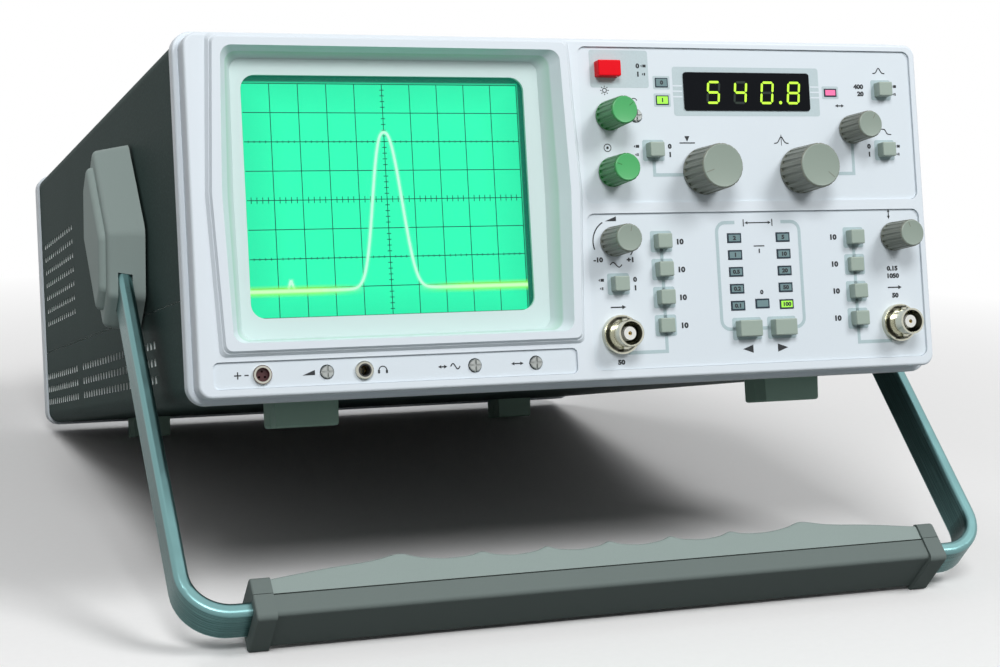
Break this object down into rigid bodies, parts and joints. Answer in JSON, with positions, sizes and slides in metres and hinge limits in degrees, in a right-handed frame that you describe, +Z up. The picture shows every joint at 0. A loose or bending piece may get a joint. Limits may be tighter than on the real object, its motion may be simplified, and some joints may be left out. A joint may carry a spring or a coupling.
{
  "type": "spectrum analyzer",
  "caption": "Portable bench spectrum analyzer with a screen on the left, a panel of knobs and push buttons on the right, and a carrying handle that tilts it up.",
  "frame": {"origin": "middle of the footprint on the table, under the instrument as it stands on its handle and rear feet", "axes": "+Z up from the table; -Y towards the user, out of the front panel, which leans back; +X to the right as seen from the front"},
  "size_m": [0.3166, 0.4258, 0.2007],
  "materials": {
    "face_moulding": "fine-grained pale lavender-grey moulding",
    "bezel_moulding": "satin pale grey moulding",
    "printed_foil": "matt printed overlay",
    "filter_sheet": "green contrast sheet",
    "tube_glass": "glass with green phosphor",
    "display_sheet": "smoked window",
    "lamp_resin": "coloured diffusing resin",
    "connector_metal": "nickel plate",
    "socket_resin": "black moulding",
    "circuit_board": "green solder mask",
    "component_black": "black component cases",
    "case_paint": "fine-textured dark grey-green paint",
    "rear_moulding": "pale grey moulding",
    "bare_aluminium": "satin sheet",
    "plated_steel": "zinc plate",
    "transformer_winding": "taped winding round an iron ring",
    "handle_steel": "lengthwise-brushed zinc plate",
    "grip_moulding": "grained warm grey moulding",
    "foot_moulding": "dark grey-green rubber",
    "grey_knob": "satin beige-grey moulding",
    "green_knob": "satin green moulding",
    "grey_button": "satin beige-grey moulding",
    "red_button": "red moulding",
    "trimmer_resin": "ivory moulding"
  },
  "bodies": {
    "instrument": {"front_frame": "face_moulding", "panel_foils": "printed_foil", "screen_bezel": "bezel_moulding", "contrast_filter": "filter_sheet", "picture_tube": "tube_glass", "tube_shield": "plated_steel", "tube_socket": "socket_resin", "display_window": "display_sheet", "display_module": "component_black", "indicator_lamps": "lamp_resin", "signal_connectors": "connector_metal", "probe_power_socket": "socket_resin", "phone_jack": "connector_metal", "control_boards": "circuit_board", "switch_bodies": "component_black", "potentiometer_bodies": "component_black", "upper_cover": "case_paint", "lower_cover": "case_paint", "rear_frame": "rear_moulding", "rear_panel": "bare_aluminium", "mains_inlet": "socket_resin", "rear_screws": "plated_steel", "feet": "foot_moulding", "chassis": "plated_steel", "main_board": "circuit_board", "screened_modules": "plated_steel", "power_supply_board": "circuit_board", "mains_transformer": "transformer_winding", "hub_pivots": "plated_steel"},
    "handle": {"handle_strip": "handle_steel", "hub_shells": "grip_moulding", "grip_outer": "grip_moulding", "grip_inner": "grip_moulding", "grip_end_caps": "grip_moulding"},
    "intensity_knob_body": {"intensity_knob": "green_knob"},
    "focus_knob_body": {"focus_knob": "green_knob"},
    "level_knob_body": {"level_knob": "grey_knob"},
    "y_position_knob_body": {"y_position_knob": "grey_knob"},
    "fine_tuning_knob_body": {"fine_tuning_knob": "grey_knob"},
    "marker_knob_body": {"marker_knob": "grey_knob"},
    "center_frequency_knob_body": {"center_frequency_knob": "grey_knob"},
    "power_button_body": {"power_button": "red_button"},
    "marker_button_body": {"marker_button": "grey_button"},
    "bandwidth_button_body": {"bandwidth_button": "grey_button"},
    "video_filter_button_body": {"video_filter_button": "grey_button"},
    "tracking_generator_button_body": {"tracking_generator_button": "grey_button"},
    "span_down_button_body": {"span_down_button": "grey_button"},
    "span_up_button_body": {"span_up_button": "grey_button"},
    "output_attenuator_button_1_body": {"output_attenuator_button_1": "grey_button"},
    "input_attenuator_button_1_body": {"input_attenuator_button_1": "grey_button"},
    "output_attenuator_button_2_body": {"output_attenuator_button_2": "grey_button"},
    "input_attenuator_button_2_body": {"input_attenuator_button_2": "grey_button"},
    "output_attenuator_button_3_body": {"output_attenuator_button_3": "grey_button"},
    "input_attenuator_button_3_body": {"input_attenuator_button_3": "grey_button"},
    "output_attenuator_button_4_body": {"output_attenuator_button_4": "grey_button"},
    "input_attenuator_button_4_body": {"input_attenuator_button_4": "grey_button"},
    "volume_trimmer_body": {"volume_trimmer": "trimmer_resin"},
    "x_amplitude_trimmer_body": {"x_amplitude_trimmer": "trimmer_resin"},
    "x_position_trimmer_body": {"x_position_trimmer": "trimmer_resin"},
    "trace_rotation_trimmer_body": {"trace_rotation_trimmer": "trimmer_resin"}
  },
  "joints": [
    {"name": "handle_swing", "type": "hinge", "parent": "instrument", "child": "handle", "pos_m": [0, -0.07184, 0.12393], "axis": [-1, 0, 0], "range_deg": [-29.4, 200]},
    {"name": "intensity_turn", "type": "hinge", "parent": "instrument", "child": "intensity_knob_body", "pos_m": [0.0123, -0.16159, 0.17373], "axis": [0, -0.9791, 0.2035], "range_deg": [-150, 150]},
    {"name": "focus_turn", "type": "hinge", "parent": "instrument", "child": "focus_knob_body", "pos_m": [0.0122, -0.16572, 0.15385], "axis": [0, -0.9791, 0.2035], "range_deg": [-150, 150]},
    {"name": "level_turn", "type": "hinge", "parent": "instrument", "child": "level_knob_body", "pos_m": [0.0113, -0.17078, 0.12948], "axis": [0, -0.9791, 0.2035], "range_deg": [-150, 150]},
    {"name": "y_position_turn", "type": "hinge", "parent": "instrument", "child": "y_position_knob_body", "pos_m": [0.1262, -0.17085, 0.12918], "axis": [0, -0.9791, 0.2035], "range_deg": [-150, 150]},
    {"name": "fine_tuning_turn", "type": "hinge", "parent": "instrument", "child": "fine_tuning_knob_body", "pos_m": [0.1113, -0.16258, 0.16893], "axis": [0, -0.9791, 0.2035], "range_deg": [-150, 150]},
    {"name": "marker_turn", "type": "hinge", "parent": "instrument", "child": "marker_knob_body", "pos_m": [0.0488, -0.1657, 0.15395], "axis": [0, -0.9791, 0.2035], "range_deg": [-1800, 1800]},
    {"name": "center_frequency_turn", "type": "hinge", "parent": "instrument", "child": "center_frequency_knob_body", "pos_m": [0.0885, -0.1657, 0.15395], "axis": [0, -0.9791, 0.2035], "range_deg": [-1800, 1800]},
    {"name": "power_press", "type": "slide", "parent": "instrument", "child": "power_button_body", "axis": [0, 0.9791, -0.2035], "range_m": [0, 0.0025]},
    {"name": "marker_press", "type": "slide", "parent": "instrument", "child": "marker_button_body", "axis": [0, 0.9791, -0.2035], "range_m": [0, 0.0025]},
    {"name": "bandwidth_press", "type": "slide", "parent": "instrument", "child": "bandwidth_button_body", "axis": [0, 0.9791, -0.2035], "range_m": [0, 0.0025]},
    {"name": "video_filter_press", "type": "slide", "parent": "instrument", "child": "video_filter_button_body", "axis": [0, 0.9791, -0.2035], "range_m": [0, 0.0025]},
    {"name": "tracking_generator_press", "type": "slide", "parent": "instrument", "child": "tracking_generator_button_body", "axis": [0, 0.9791, -0.2035], "range_m": [0, 0.0025]},
    {"name": "span_down_press", "type": "slide", "parent": "instrument", "child": "span_down_button_body", "axis": [0, 0.9791, -0.2035], "range_m": [0, 0.0015], "stiffness_N_per_m": 300},
    {"name": "span_up_press", "type": "slide", "parent": "instrument", "child": "span_up_button_body", "axis": [0, 0.9791, -0.2035], "range_m": [0, 0.0015], "stiffness_N_per_m": 300},
    {"name": "output_attenuator_1_press", "type": "slide", "parent": "instrument", "child": "output_attenuator_button_1_body", "axis": [0, 0.9791, -0.2035], "range_m": [0, 0.0025]},
    {"name": "input_attenuator_1_press", "type": "slide", "parent": "instrument", "child": "input_attenuator_button_1_body", "axis": [0, 0.9791, -0.2035], "range_m": [0, 0.0025]},
    {"name": "output_attenuator_2_press", "type": "slide", "parent": "instrument", "child": "output_attenuator_button_2_body", "axis": [0, 0.9791, -0.2035], "range_m": [0, 0.0025]},
    {"name": "input_attenuator_2_press", "type": "slide", "parent": "instrument", "child": "input_attenuator_button_2_body", "axis": [0, 0.9791, -0.2035], "range_m": [-0.0016, 0.0009]},
    {"name": "output_attenuator_3_press", "type": "slide", "parent": "instrument", "child": "output_attenuator_button_3_body", "axis": [0, 0.9791, -0.2035], "range_m": [0, 0.0025]},
    {"name": "input_attenuator_3_press", "type": "slide", "parent": "instrument", "child": "input_attenuator_button_3_body", "axis": [0, 0.9791, -0.2035], "range_m": [0, 0.0025]},
    {"name": "output_attenuator_4_press", "type": "slide", "parent": "instrument", "child": "output_attenuator_button_4_body", "axis": [0, 0.9791, -0.2035], "range_m": [-0.0016, 0.0009]},
    {"name": "input_attenuator_4_press", "type": "slide", "parent": "instrument", "child": "input_attenuator_button_4_body", "axis": [0, 0.9791, -0.2035], "range_m": [0, 0.0025]},
    {"name": "volume_adjust", "type": "hinge", "parent": "instrument", "child": "volume_trimmer_body", "pos_m": [-0.0966, -0.17931, 0.08845], "axis": [0, -0.9791, 0.2035], "range_deg": [-135, 135]},
    {"name": "x_amplitude_adjust", "type": "hinge", "parent": "instrument", "child": "x_amplitude_trimmer_body", "pos_m": [-0.0437, -0.17931, 0.08845], "axis": [0, -0.9791, 0.2035], "range_deg": [-135, 135]},
    {"name": "x_position_adjust", "type": "hinge", "parent": "instrument", "child": "x_position_trimmer_body", "pos_m": [-0.021, -0.17931, 0.08845], "axis": [0, -0.9791, 0.2035], "range_deg": [-135, 135]},
    {"name": "trace_rotation_adjust", "type": "hinge", "parent": "instrument", "child": "trace_rotation_trimmer_body", "pos_m": [0.0229, -0.16157, 0.17383], "axis": [0, -0.9791, 0.2035], "range_deg": [-135, 135]}
  ]
}
